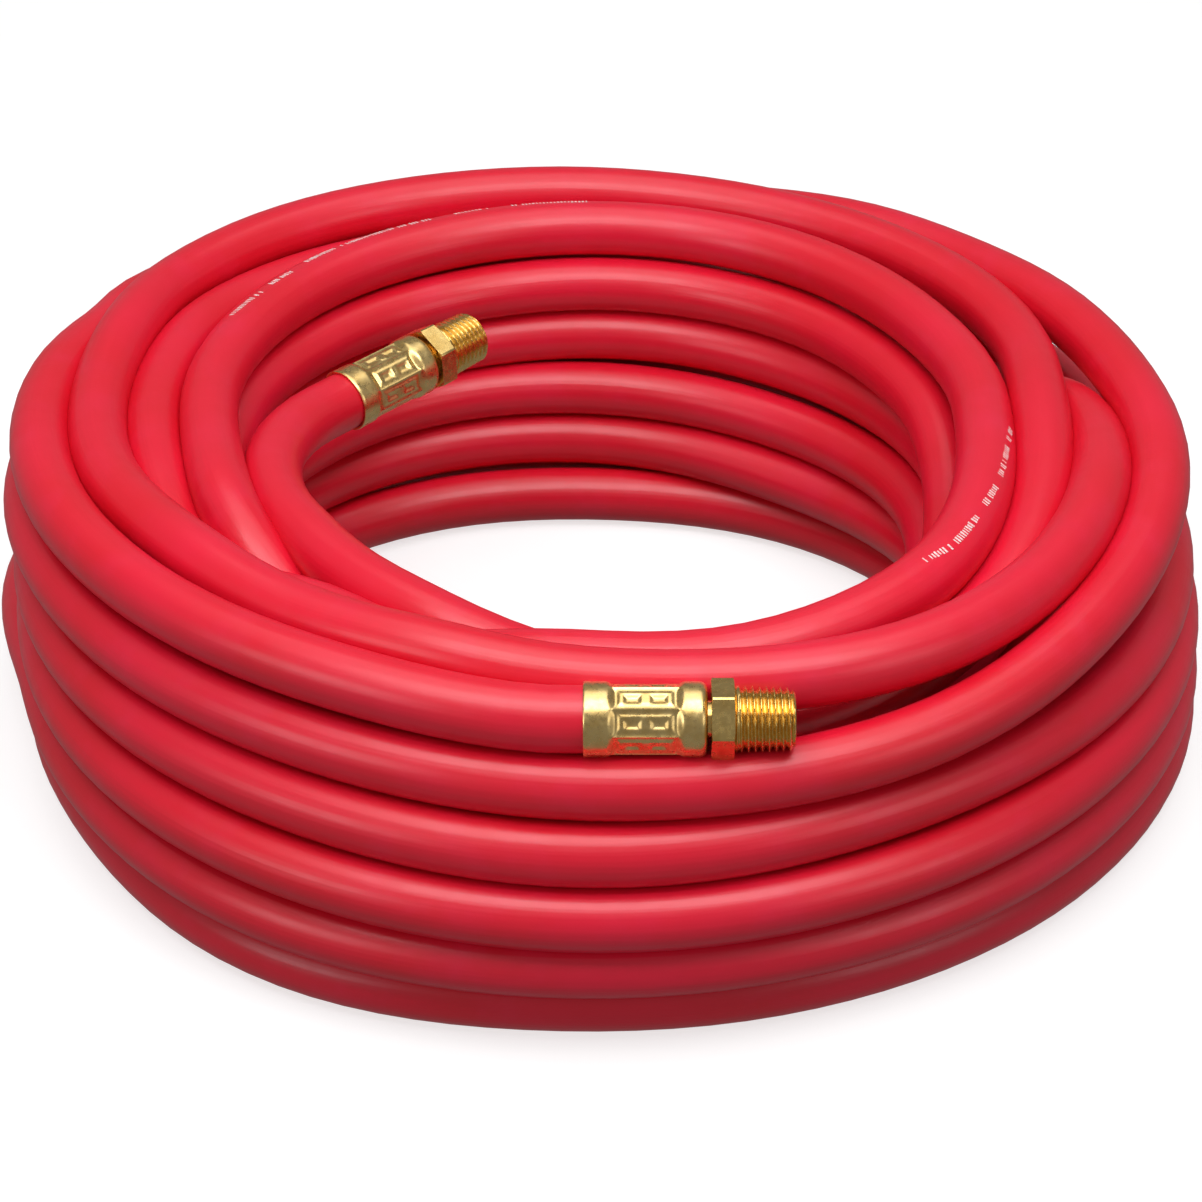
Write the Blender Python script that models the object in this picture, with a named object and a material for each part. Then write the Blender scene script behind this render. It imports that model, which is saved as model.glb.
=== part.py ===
"""Rubber compressed-air hose wound in a round coil, with a crimped brass pipe-thread end fitting on each end.

The coil stands on the floor with its axis on +Z. The front end lies in a groove on the coil's top outer
edge and points along +X. The inner end curls into the coil's eye. Sizes are in metres.
"""

import math

import bmesh
import bpy
from mathutils import Matrix, Vector

# Hose
HOSE = 0.014  # outside diameter; the coil's proportions are given in it
LINER_WALL = 0.0012
BRAID_WALL = 0.0006
GAP = 0.0003  # between pieces that touch on the real object

# Coil, as (radius, height) in hose diameters, from the inner foot outwards and up
COIL_OUTLINE = (
    (6.35, 0.00), (9.35, 0.00), (9.80, 0.15), (10.05, 0.50),
    (10.25, 1.50), (10.30, 2.60), (10.20, 3.70), (10.05, 4.70),
    (9.90, 5.30), (9.65, 5.70), (9.20, 5.85), (7.00, 5.85),
    (6.55, 5.70), (6.25, 5.30), (6.00, 3.50), (5.90, 1.50),
    (5.90, 0.50), (6.05, 0.12),
)
COIL_SEGMENTS = 80

# End fittings, measured along each fitting from the ferrule's mouth
FERRULE_LENGTH = 0.0250
FERRULE_RADIUS = 0.0077
FERRULE_WALL = 0.0006
CRIMP_START = 0.0055
CRIMP_END = 0.0195
CRIMP_RADIUS = 0.0070  # across the eight crimped flats, halved
CRIMP_SIDES = 8
LIP_RADIUS = 0.0045
NECK_RADIUS = 0.0039
HEX_START = 0.0258
HEX_LENGTH = 0.0047
HEX_FLATS = 0.0148
HEX_CHAMFER = 0.0006
THREAD_START = 0.0312  # quarter-inch taper pipe thread, 18 threads to the inch
THREAD_END = 0.0429
THREAD_PITCH = 0.0254 / 18
THREAD_RADIUS = 0.00686
THREAD_TAPER = 1 / 32  # radius lost for each unit of length
THREAD_DEPTH = 0.0010
STEM_BORE = 0.0024
SHANK_START = 0.0010
SHANK_RADIUS = 0.0024 + 0.0003
BARB_RADIUS = 0.0029
BARBS = 4
BARB_PITCH = 0.0048
ROUND_SIDES = 24

# Where the ends lie, in hose diameters
TOP_RUN = 5.35  # height of the middle of the topmost turns
FRONT_MOUTH = Vector((-0.25, -9.35, TOP_RUN))
FRONT_DIRECTION = Vector((1.0, 0.0, 0.0))
FRONT_ROUTE = (  # hand-placed (degrees round the coil, radius, height) of the front end
    (232.0, 9.10, 5.42), (240.0, 9.12, 5.42), (248.0, 9.18, 5.41), (256.0, 9.27, 5.38),
)
FRONT_CRIMP_ROLL = 19.5  # degrees that a flat is turned about its fitting
FRONT_HEX_ROLL = 27.5
INNER_MOUTH = Vector((-4.46, 2.00, 4.70))
INNER_DIRECTION = Vector((2.19, 2.20, 0.20)).normalized()
INNER_CRIMP_ROLL = 0.0
INNER_HEX_ROLL = 0.0
INNER_ROUTE = (  # hand-placed points of the inner end, from the coil to the ferrule
    Vector((-3.30, -5.45, 5.10)), Vector((-4.05, -4.55, 5.10)), Vector((-4.72, -3.55, 5.10)),
    Vector((-5.20, -2.50, 5.06)), Vector((-5.44, -1.40, 5.00)), Vector((-5.44, -0.25, 4.91)),
    Vector((-5.17, 0.80, 4.81)),
)
STRAIGHT = 0.7  # length of hose that runs straight into each ferrule
ROUTE_STEP = 2.0  # hose diameters between the points of a free end
CLEARANCE = 0.0008  # round a free end where it lies in the coil
ROOM_AHEAD = 0.012  # left free in front of the front thread

RED = (0.62, 0.012, 0.035, 1.0)
BLACK = (0.02, 0.02, 0.022, 1.0)
NATURAL = (0.72, 0.68, 0.58, 1.0)
BRASS = (0.80, 0.62, 0.30, 1.0)


def clear_scene():
    for thing in list(bpy.data.objects):
        bpy.data.objects.remove(thing)


def material(name, colour, roughness, metallic):
    made = bpy.data.materials.new(name)
    made.use_nodes = True
    shader = made.node_tree.nodes["Principled BSDF"]
    shader.inputs["Base Color"].default_value = colour
    shader.inputs["Roughness"].default_value = roughness
    shader.inputs["Metallic"].default_value = metallic
    return made


def object_from(name, mesh, finish):
    made = bpy.data.objects.new(name, mesh)
    bpy.context.scene.collection.objects.link(made)
    mesh.materials.append(finish)
    return made


def mesh_from(name, bm):
    bmesh.ops.recalc_face_normals(bm, faces=bm.faces)
    mesh = bpy.data.meshes.new(name)
    bm.to_mesh(mesh)
    bm.free()
    mesh.shade_smooth()
    mesh.set_sharp_from_angle(angle=math.radians(32))
    return mesh


def ring_points(bm, along, radius, sides):
    """One ring round the X axis: round, or with flats when sides is not zero."""
    ring = []
    for step in range(ROUND_SIDES):
        turn = math.tau * step / ROUND_SIDES
        reach = radius
        if sides:
            sector = math.tau / sides
            reach = radius / math.cos((turn + sector / 2) % sector - sector / 2)
        ring.append(bm.verts.new((along, reach * math.cos(turn), reach * math.sin(turn))))
    return ring


def turned(name, stations):
    """A closed body round the X axis through (along, radius, sides) stations, which form a closed loop."""
    bm = bmesh.new()
    rings = [ring_points(bm, *station) for station in stations]
    for first, second in zip(rings, rings[1:] + rings[:1]):
        for a in range(ROUND_SIDES):
            b = (a + 1) % ROUND_SIDES
            bm.faces.new((first[a], first[b], second[b], second[a]))
    return mesh_from(name, bm)


def swept(name, points, radius, sides):
    """A closed round bar along points, used to cut grooves."""
    bm = bmesh.new()
    rings = []
    for index, point in enumerate(points):
        ahead = points[min(index + 1, len(points) - 1)] - points[max(index - 1, 0)]
        ahead.normalize()
        side = ahead.cross(Vector((0, 0, 1))).normalized()
        up = side.cross(ahead)
        ring = []
        for step in range(sides):
            turn = math.tau * step / sides
            ring.append(bm.verts.new(point + radius * (math.cos(turn) * side + math.sin(turn) * up)))
        rings.append(ring)
    for first, second in zip(rings, rings[1:]):
        for a in range(sides):
            b = (a + 1) % sides
            bm.faces.new((first[a], first[b], second[b], second[a]))
    bm.faces.new(rings[0])
    bm.faces.new(rings[-1])
    return mesh_from(name, bm)


def smooth_route(knots, step):
    """Points every step along a Catmull-Rom curve through the knots."""
    ends = [2 * knots[0] - knots[1]] + list(knots) + [2 * knots[-1] - knots[-2]]
    points = []
    for a, b, c, d in zip(ends, ends[1:], ends[2:], ends[3:]):
        count = max(1, round((c - b).length / step))
        for index in range(count):
            t = index / count
            square = (2 * a - 5 * b + 4 * c - d) * t**2
            cube = (3 * b - a - 3 * c + d) * t**3
            points.append(0.5 * (2 * b + (c - a) * t + square + cube))
    return points + [knots[-1]]


def front_route():
    """Round the coil's top outer edge and straight into the front ferrule."""
    knots = []
    for degrees, radius, height in FRONT_ROUTE:
        turn = math.radians(degrees)
        knots.append(Vector((radius * math.cos(turn), radius * math.sin(turn), height)))
    knots.append(FRONT_MOUTH - STRAIGHT * FRONT_DIRECTION)
    knots.append(FRONT_MOUTH)
    return [HOSE * point for point in smooth_route(knots, ROUTE_STEP)]


def inner_route():
    """Off the coil's top inner edge, across the eye and into the inner ferrule."""
    knots = list(INNER_ROUTE)
    knots.append(INNER_MOUTH - STRAIGHT * INNER_DIRECTION)
    knots.append(INNER_MOUTH)
    return [HOSE * point for point in smooth_route(knots, ROUTE_STEP)]


def free_end(name, route, direction, finish):
    """The stretch of hose from the coil to just short of the ferrule."""
    points = route[:-1] + [route[-1] - GAP * direction]
    curve = bpy.data.curves.new(name, "CURVE")
    curve.dimensions = "3D"
    curve.bevel_depth = HOSE / 2
    curve.bevel_resolution = 4
    curve.use_fill_caps = True
    spline = curve.splines.new("POLY")
    spline.points.add(len(points) - 1)
    for knot, point in zip(spline.points, points):
        knot.co = (*point, 1)
    spline.use_smooth = True
    made = bpy.data.objects.new(name, curve)
    bpy.context.scene.collection.objects.link(made)
    curve.materials.append(finish)
    return made


def cutter(name, mesh, target):
    made = bpy.data.objects.new(name, mesh)
    bpy.context.scene.collection.objects.link(made)
    made.hide_render = True
    made.display_type = "WIRE"
    cut = target.modifiers.new(name, "BOOLEAN")
    cut.operation = "DIFFERENCE"
    cut.object = made
    return made


def coil(finish):
    """The outer shape of the wound turns: a turned ring standing on a flat foot."""
    bm = bmesh.new()
    rings = []
    for step in range(COIL_SEGMENTS):
        turn = math.tau * step / COIL_SEGMENTS
        ring = []
        for radius, height in COIL_OUTLINE:
            corner = Vector((radius * math.cos(turn), radius * math.sin(turn), height))
            ring.append(bm.verts.new(HOSE * corner))
        rings.append(ring)
    for first, second in zip(rings, rings[1:] + rings[:1]):
        for a in range(len(COIL_OUTLINE)):
            b = (a + 1) % len(COIL_OUTLINE)
            bm.faces.new((first[a], second[a], second[b], first[b]))
    return object_from("hose_coil", mesh_from("hose_coil", bm), finish)


def ferrule_stations():
    """Thin sleeve with a crimped waist and a lip that closes on the stem's neck."""
    inside = FERRULE_RADIUS - FERRULE_WALL
    crimp_inside = CRIMP_RADIUS - FERRULE_WALL
    shoulder = FERRULE_LENGTH - 0.0012
    return (
        (0.0, inside, 0),
        (0.0, FERRULE_RADIUS, 0),
        (CRIMP_START - 0.0012, FERRULE_RADIUS, 0),
        (CRIMP_START, CRIMP_RADIUS, CRIMP_SIDES),
        (CRIMP_END, CRIMP_RADIUS, CRIMP_SIDES),
        (CRIMP_END + 0.0012, FERRULE_RADIUS, 0),
        (shoulder, FERRULE_RADIUS, 0),
        (FERRULE_LENGTH - 0.0002, FERRULE_RADIUS - 0.0009, 0),
        (FERRULE_LENGTH, FERRULE_RADIUS - 0.0018, 0),
        (FERRULE_LENGTH, LIP_RADIUS, 0),
        (FERRULE_LENGTH - FERRULE_WALL, LIP_RADIUS, 0),
        (FERRULE_LENGTH - FERRULE_WALL, FERRULE_RADIUS - 0.0020, 0),
        (shoulder - 0.0003, inside, 0),
        (CRIMP_END + 0.0010, inside, 0),
        (CRIMP_END - 0.0002, crimp_inside, 0),
        (CRIMP_START + 0.0002, crimp_inside, 0),
        (CRIMP_START - 0.0010, inside, 0),
    )


def stem_stations():
    """Bore, barbed shank, neck, hexagon and taper thread in one turned piece."""
    stations = [(SHANK_START, STEM_BORE, 0), (SHANK_START, SHANK_RADIUS, 0)]
    for barb in range(BARBS):
        crest = SHANK_START + (barb + 0.8) * BARB_PITCH
        stations.append((crest, BARB_RADIUS, 0))
        stations.append((crest + 0.0002, SHANK_RADIUS, 0))
    stations.append((FERRULE_LENGTH - 0.0032, SHANK_RADIUS, 0))
    stations.append((FERRULE_LENGTH - 0.0022, NECK_RADIUS, 0))
    stations.append((HEX_START, NECK_RADIUS, 0))
    flat = HEX_FLATS / 2
    stations.append((HEX_START, flat - HEX_CHAMFER / 2, 0))
    stations.append((HEX_START + HEX_CHAMFER, flat, 6))
    stations.append((HEX_START + HEX_LENGTH - HEX_CHAMFER, flat, 6))
    stations.append((HEX_START + HEX_LENGTH, flat - HEX_CHAMFER / 2, 0))
    stations.append((HEX_START + HEX_LENGTH, THREAD_RADIUS - THREAD_DEPTH, 0))
    along = THREAD_START
    while along < THREAD_END - THREAD_PITCH:
        crest = THREAD_RADIUS - THREAD_TAPER * (along - THREAD_START)
        stations.append((along + 0.4 * THREAD_PITCH, crest, 0))
        stations.append((along + 0.6 * THREAD_PITCH, crest, 0))
        stations.append((along + THREAD_PITCH, crest - THREAD_DEPTH, 0))
        along += THREAD_PITCH
    stations.append((THREAD_END, THREAD_RADIUS - THREAD_DEPTH - 0.0004, 0))
    stations.append((THREAD_END, STEM_BORE, 0))
    return stations


def sleeve_stations(inner, outer):
    """One layer of the hose's cut end, from the ferrule's mouth to behind its lip."""
    start = 0.0
    end = FERRULE_LENGTH - 0.0036
    return ((start, inner, 0), (start, outer, 0), (end, outer, 0), (end, inner, 0))


def end_fitting(prefix, mouth, direction, crimp_roll, hex_roll, finishes):
    """The ferrule, the stem and the hose's three layers inside them, all in line."""
    place = bpy.data.objects.new(prefix + "_fitting", None)
    bpy.context.scene.collection.objects.link(place)
    aim = direction.to_track_quat("X", "Z").to_matrix().to_4x4()
    place.matrix_world = Matrix.Translation(HOSE * mouth) @ aim
    liner_inside = BARB_RADIUS + GAP
    liner_outside = liner_inside + LINER_WALL
    braid_inside = liner_outside + 0.00005 + GAP / 2
    braid_outside = braid_inside + BRAID_WALL
    cover_inside = braid_outside + GAP / 2 + 0.00005
    cover_outside = CRIMP_RADIUS - FERRULE_WALL - GAP
    pieces = (
        ("_ferrule", ferrule_stations(), finishes["brass"], crimp_roll),
        ("_stem", stem_stations(), finishes["brass"], hex_roll),
        ("_liner", sleeve_stations(liner_inside, liner_outside), finishes["liner"], 0.0),
        ("_braid", sleeve_stations(braid_inside, braid_outside), finishes["braid"], 0.0),
        ("_cover", sleeve_stations(cover_inside, cover_outside), finishes["cover"], 0.0),
    )
    for suffix, stations, finish, roll in pieces:
        piece = object_from(prefix + suffix, turned(prefix + suffix, stations), finish)
        piece.rotation_euler.x = math.radians(roll)
        piece.parent = place
    return place


def main():
    clear_scene()
    finishes = {
        "cover": material("red_rubber", RED, 0.42, 0.0),
        "liner": material("black_rubber", BLACK, 0.6, 0.0),
        "braid": material("reinforcing_yarn", NATURAL, 0.8, 0.0),
        "brass": material("yellow_brass", BRASS, 0.28, 1.0),
    }
    wound = coil(finishes["cover"])
    front = front_route()
    inner = inner_route()
    free_end("front_hose_end", front, FRONT_DIRECTION, finishes["cover"])
    free_end("inner_hose_end", inner, INNER_DIRECTION, finishes["cover"])
    end_fitting("front", FRONT_MOUTH, FRONT_DIRECTION, FRONT_CRIMP_ROLL, FRONT_HEX_ROLL, finishes)
    end_fitting("inner", INNER_MOUTH, INNER_DIRECTION, INNER_CRIMP_ROLL, INNER_HEX_ROLL, finishes)

    start = (front[1] - front[0]).normalized()
    groove = [front[0] - GAP * start] + front[1:]
    cutter("front_hose_groove", swept("front_hose_groove", groove, HOSE / 2 + CLEARANCE, 20), wound)
    mouth = HOSE * FRONT_MOUTH
    bay = [mouth - 0.002 * FRONT_DIRECTION, mouth + (THREAD_END + ROOM_AHEAD) * FRONT_DIRECTION]
    bay_radius = HEX_FLATS / 2 / math.cos(math.pi / 6) + CLEARANCE
    cutter("front_fitting_bay", swept("front_fitting_bay", bay, bay_radius, 24), wound)
    start = (inner[1] - inner[0]).normalized()
    groove = [inner[0] - GAP * start] + inner[1:]
    cutter("inner_hose_groove", swept("inner_hose_groove", groove, HOSE / 2 + CLEARANCE, 20), wound)


main()
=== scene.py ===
"""The looks of a coiled rubber compressed-air hose with a crimped brass thread fitting on each end.

The hose is one length wound in about 21 turns. Lengths are in metres, except on the hose's route and in its
winding, where they are in hose diameters.
"""

import math

import bmesh
import bpy
import numpy as np
from mathutils import Matrix, Vector


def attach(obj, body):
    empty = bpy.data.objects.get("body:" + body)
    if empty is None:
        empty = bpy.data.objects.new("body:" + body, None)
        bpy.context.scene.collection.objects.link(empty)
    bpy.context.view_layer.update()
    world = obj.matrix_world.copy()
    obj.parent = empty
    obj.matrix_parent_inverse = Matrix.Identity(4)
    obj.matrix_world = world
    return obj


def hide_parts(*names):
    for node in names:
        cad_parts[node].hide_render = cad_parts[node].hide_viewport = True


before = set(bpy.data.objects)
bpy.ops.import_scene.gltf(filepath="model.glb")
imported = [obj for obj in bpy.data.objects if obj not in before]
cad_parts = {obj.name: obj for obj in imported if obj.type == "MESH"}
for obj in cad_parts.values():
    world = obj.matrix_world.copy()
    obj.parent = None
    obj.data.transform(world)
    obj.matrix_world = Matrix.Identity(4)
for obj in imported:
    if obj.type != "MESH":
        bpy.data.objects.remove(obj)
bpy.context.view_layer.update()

# ---------------------------------------------------------------- sizes

HOSE = 0.014  # outside diameter
LEVEL = 0.97  # height of one layer of turns, in hose diameters
RING_STEP = 0.0077  # between the rings of the hose's skin
RING_SIDES = 28
HOSE_CREASE = 40  # degrees between two faces past which an edge is sharp
SKIN_TUCK = 0.0012  # how far the hose's skin goes on into each ferrule
SOCKET_RADIUS = 0.0063  # of the hollow in its end, which takes the sleeves in the ferrule
SOCKET_FLOOR = 0.0003  # how far before the ferrule's mouth the hollow starts

# The hose's free ends, in hose diameters, by the same routes as the solids
FRONT_MOUTH = Vector((-0.25, -9.35, 5.35))
FRONT_DIRECTION = Vector((1.0, 0.0, 0.0))
FRONT_CRIMP_ROLL = 19.5  # degrees
FRONT_HEX_ROLL = 27.5
INNER_MOUTH = Vector((-4.46, 2.00, 4.70))
INNER_DIRECTION = Vector((2.19, 2.20, 0.20)).normalized()
INNER_CRIMP_ROLL = 0.0
INNER_HEX_ROLL = 0.0
STRAIGHT = 0.4  # length of hose that runs straight into each ferrule
FRONT_ROUTE = (  # degrees round the coil, radius, height
    (232, 9.10, 5.42), (240, 9.12, 5.42), (248, 9.18, 5.41), (256, 9.27, 5.38),
)
INNER_ROUTE = (  # x, y and height, from the coil to the ferrule
    (-3.30, -5.45, 5.10), (-4.05, -4.55, 5.10), (-4.72, -3.55, 5.10), (-5.20, -2.50, 5.06),
    (-5.44, -1.40, 5.00), (-5.44, -0.25, 4.91), (-5.17, 0.80, 4.81),
)

# End fittings, measured along each fitting from the ferrule's mouth
EDGE = 0.0002  # broken edges
FERRULE_LENGTH = 0.0250
FERRULE_RADIUS = 0.0077
FERRULE_WALL = 0.0006
FERRULE_SIDES = 192
FERRULE_CREASE = 55
MOUTH = (  # the rolled edge of the mouth: along, and how far outside the ferrule's radius
    (0.0, -FERRULE_WALL), (-0.00012, -0.0004), (-0.00012, -0.0001), (0.0002, 0.00008), (0.0008, 0.00004),
)
BAND_START = 0.0018
BAND_RINGS = 5
SHOULDER = 0.0016  # length of the rounded end beside the hexagon
SHOULDER_DROP = 0.0014
SHOULDER_TURNS = (20, 40, 60, 75, 90)  # degrees round it at each ring
LIP_RADIUS = 0.0045
CRIMP_START = 0.0055
CRIMP_END = 0.0195
CRIMP_RADIUS = 0.0070
CRIMP_SIDES = 8
CRIMP_FADE = 0.0024  # length over which the flats run out into the round bands
CRIMP_PRESS = 0.00010  # how much it presses in between two flats
CRIMP_REACH = 0.0014  # how far its close rings go past it
CRIMP_STEP = 0.0002
STAMPS = (  # on each flat: along from its middle, half length, across, half width, soft edge, rise
    (0.0, 0.0067, 0.0, 0.0025, 0.0019, -0.00046),  # the pocket that the jaw leaves
    (0.0, 0.0056, 0.0, 0.0018, 0.0015, 0.00046),  # the pad that stands in it
    (-0.0027, 0.0015, 0.0003, 0.0009, 0.0013, -0.00046),  # two windows in the pad
    (0.0027, 0.0015, 0.0003, 0.0009, 0.0013, -0.00046),
)
STEM_SIDES = 192
STEM_CREASE = 20
STEM_BORE = 0.0024
CHAMFER = 0.0003  # at the stem's ends and steps
SHANK_START = 0.0010
SHANK_RADIUS = 0.0027
BARB_RADIUS = 0.0029
BARBS = 4
BARB_PITCH = 0.0048
BARB_CREST = 0.8  # share of the pitch before the crest
NECK_START = 0.0218
NECK_TAPER = 0.0010
NECK_RADIUS = 0.0039
HEX_START = 0.0258
HEX_LENGTH = 0.0047
HEX_FLATS = 0.0148
HEX_EDGE = 0.00012  # cut off each corner between two flats
HEX_FACE = 0.0070  # radius of its flat faces
HEX_TURNED = 0.0079  # radius at which the turned-off corners start at each face
HEX_SLOPE = 3.0
HEX_STEPS = (0.0, 0.00008, 0.00016, 0.00026)  # rings from each face inwards
THREAD_START = 0.0312
THREAD_END = 0.0429
THREAD_PITCH = 0.0254 / 18
THREAD_RINGS = 14  # to each pitch
THREAD_RADIUS = 0.00686
THREAD_TAPER = 1 / 32
THREAD_DEPTH = 0.0010
THREAD_RELIEF = 0.0004  # how much smaller than the thread it is turned behind the hexagon
THREAD_FADE = (-0.0004, 0.0007)  # where the groove starts and is whole, from the thread's start
THREAD_CHAMFER = 0.0009
THREAD_NOSE = 0.0016  # how much smaller than the thread its very end is
FLANK = 1.25  # steepness of the groove's sides
CREST = 0.12  # flat left on the crests

# ---------------------------------------------------------------- winding
#
# A knot is (degrees, radius, height). The degrees run on round the coil from the inner end, 360 to a turn.
# The hose goes down the eye's wall, up the next column, over the top, down the middle, up the outer wall
# and over the top again to the front end.

FULL_TURN = 360
STATION = 5  # degrees between the stations of the winding
FIRST_STATION = 180
LAST_STATION = 7815

SINKING = (  # the inner end drops under the top turns at the front of the eye
    (246, 6.60, 5.08), (253, 6.82, 4.98), (260, 6.88, 4.80), (270, 6.86, 4.60), (285, 6.80, 4.40),
)
EYE_AT = (0, 30, 60, 90, 120, 150, 180)
EYE_WALL = (  # radii of the rows at those angles, from the top row down
    (5.95, 6.31, 7.00, 7.43, 7.25, 6.90, 6.50),
    (6.30, 6.55, 6.96, 7.37, 7.30, 7.05, 6.50),
    (5.95, 6.21, 6.45, 6.91, 7.22, 6.95, 6.40),
    (6.40, 6.25, 6.20, 6.77, 7.15, 7.15, 6.75),
    (6.75, 6.58, 6.40, 6.30, 6.70, 7.10, 7.15),
)
EYE_TURN = 1  # whole turns before the eye's wall starts, and so on for the others
EYE_FRONT = ((-60, 6.85), (240, 6.85))  # the eye's rows at the front, where they change level
COLUMN_TURN = 6  # the second column, beside the eye's wall
MIDDLE_TURN = 13
MIDDLE_ROWS = (2, 1, 0)  # its rows, counted from the floor
MIDDLE = ((60, 8.6), (90, 8.7), (150, 8.6), (240, 8.9), (300, 8.9))
MIDDLE_ENTRY = 0.8  # how much higher its first knot is
OUTSIDE_TURN = 16
ALONG_FLOOR = ((0, 8.6), (90, 8.95), (150, 9.2))
OUTSIDE_AT = (180, 210, 240, 270, 300, 330, 360)
OUTSIDE_WALL = (  # radii of the rows at those angles, from the floor up
    (9.42, 9.37, 9.77, 9.58, 9.60, 9.68, 9.80),
    (9.42, 9.60, 10.00, 10.06, 9.93, 9.80, 9.74),
    (9.42, 9.62, 10.00, 10.25, 10.02, 9.80, 9.66),
    (9.45, 9.50, 9.66, 9.98, 9.66, 9.60, 9.52),
)
OUTSIDE_BACK = ((420, 9.7), (450, 9.85))
OUTSIDE_RISE = ((480, 9.8),)  # on the way up to the next row
RISE = 0.2
BACK_LIFT = (0.0, 0.1, 0.3, 0.55)  # how much higher those rows run at the back
RISE_SHARE = 0.8  # of that lift
TOP_TURNS = (  # up and round the top, under its turns near 4200, round the top again and down
    (3680, 8.50, 4.50), (3700, 8.52, 4.70), (3720, 8.50, 4.87), (3740, 8.38, 5.00), (3755, 8.14, 5.10),
    (3770, 7.82, 5.15), (3782, 7.58, 5.15), (3795, 7.42, 5.08), (3810, 7.36, 4.95), (3825, 7.32, 4.98),
    (3840, 7.30, 5.15), (3855, 7.36, 5.15), (3870, 7.50, 5.15), (3885, 7.60, 5.15), (3900, 7.48, 5.22),
    (3915, 7.24, 5.30), (3930, 6.85, 5.35), (3945, 6.60, 5.35), (3960, 6.50, 5.35), (3975, 6.56, 5.35),
    (3990, 6.72, 5.35), (4005, 7.02, 5.35), (4020, 7.38, 5.35), (4050, 7.83, 5.35), (4080, 7.62, 5.35),
    (4095, 7.40, 5.35), (4110, 7.10, 5.34), (4125, 6.86, 5.32), (4140, 6.64, 5.28), (4155, 6.58, 5.25),
    (4170, 6.66, 5.10), (4180, 6.78, 4.85), (4190, 6.95, 4.55), (4205, 7.20, 4.30), (4230, 7.80, 4.20),
    (4250, 8.00, 4.30), (4265, 8.10, 4.50), (4280, 7.90, 4.70), (4292, 7.68, 4.95), (4305, 7.52, 5.20),
    (4320, 7.46, 5.35), (4335, 7.72, 5.36), (4350, 8.14, 5.36), (4365, 8.47, 5.37), (4380, 8.76, 5.38),
    (4395, 9.02, 5.40), (4410, 9.27, 5.40), (4425, 9.40, 5.40), (4440, 9.47, 5.40), (4455, 9.45, 5.40),
    (4470, 9.30, 5.38), (4485, 8.98, 5.36), (4500, 8.56, 5.35), (4515, 8.18, 5.36), (4530, 7.95, 5.38),
    (4545, 7.88, 5.40), (4560, 7.94, 5.40), (4575, 8.10, 5.42), (4590, 8.42, 5.44), (4605, 8.68, 5.42),
    (4620, 8.87, 5.40), (4635, 8.74, 5.37), (4650, 8.58, 5.35), (4665, 8.42, 5.32), (4680, 8.25, 5.15),
    (4695, 8.15, 4.75), (4715, 8.35, 4.35),
)
LAST_TURN = (  # up from the outer wall's top row, round the back and to the front end
    (7380, 9.58, 4.38), (7410, 9.37, 4.38), (7440, 9.36, 4.38), (7470, 9.67, 4.38), (7500, 9.72, 4.50),
    (7530, 9.42, 4.98), (7545, 9.25, 5.20), (7560, 9.16, 5.32), (7575, 9.14, 5.36), (7590, 9.22, 5.34),
    (7605, 9.42, 5.19), (7620, 9.76, 5.09), (7635, 9.93, 4.88), (7650, 9.90, 4.68), (7680, 9.85, 4.58),
    (7695, 9.82, 4.68), (7710, 9.71, 4.92), (7725, 9.55, 5.22), (7740, 9.40, 5.34), (7755, 9.27, 5.38),
    (7770, 9.14, 5.40), (7785, 9.10, 5.42),
)

FRONT_TURN = 21  # whole turns before the front end's route

# The turns then push each other apart and sink together where nothing holds them.
SETTLING_ROUNDS = 400
TOUCHING = 0.99  # distance between the middles of two turns that touch
PUSH = 0.6  # share of an overlap that one round takes away
DROP = 0.004  # of a hidden station in each round
SMOOTHINGS = 3  # in each round
SMOOTHING = 0.45
PULL_HOME = 0.3
HOLD = 0.93  # how much less a firm station gives way
HOLD_GAIN = 3  # a third of full firmness holds as well as full
NEVER_ZERO = 1e-9
HIDDEN = 0.01  # firmness of what other turns hide
FIRM = (  # degrees from and to, the part of the circle, and how firmly it keeps its place
    (180, 260, 0, 360, 1.0),
    (265, 2095, 15, 160, 0.25),
    (3670, 4180, 0, 360, 0.3),
    (4270, 4690, 0, 360, 0.3),
    (5930, 7560, 190, 360, 0.3),
    (7210, 7370, 0, 360, 0.3),
    (7470, 7700, 0, 360, 0.3),
    (7715, 7815, 0, 360, 1.0),
)


def row_height(row):
    """Height of a row of turns, counted from the floor."""
    return 0.5 + LEVEL * row


def polar(point):
    """Degrees round the coil, radius and height of a point."""
    x, y, z = point
    return (math.degrees(math.atan2(y, x)) % FULL_TURN, math.hypot(x, y), z)


def level_knots(turns, spots, height):
    """Knots at one height from (degrees, radius) spots, after so many whole turns."""
    return [(FULL_TURN * turns + at, radius, height) for at, radius in spots]


def down_the_eye():
    """Down the rows of the eye's wall, changing level at the front."""
    knots = []
    for row, radii in enumerate(EYE_WALL):
        spots = [EYE_FRONT[0], *zip(EYE_AT, radii), EYE_FRONT[1]]
        knots += level_knots(EYE_TURN + row, spots, row_height(len(EYE_WALL) - 1 - row))
    return knots


def up_the_column():
    """Up a second column, one hose further out than the eye's wall, until the top turns start."""
    knots = []
    for row, radii in enumerate(reversed(EYE_WALL)):
        spots = [EYE_FRONT[0], *zip(EYE_AT, radii), EYE_FRONT[1]]
        further_out = [(at, radius + 1) for at, radius in spots]
        knots += level_knots(COLUMN_TURN + row, further_out, row_height(row))
    return [knot for knot in knots if knot[0] < TOP_TURNS[0][0]]


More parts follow.
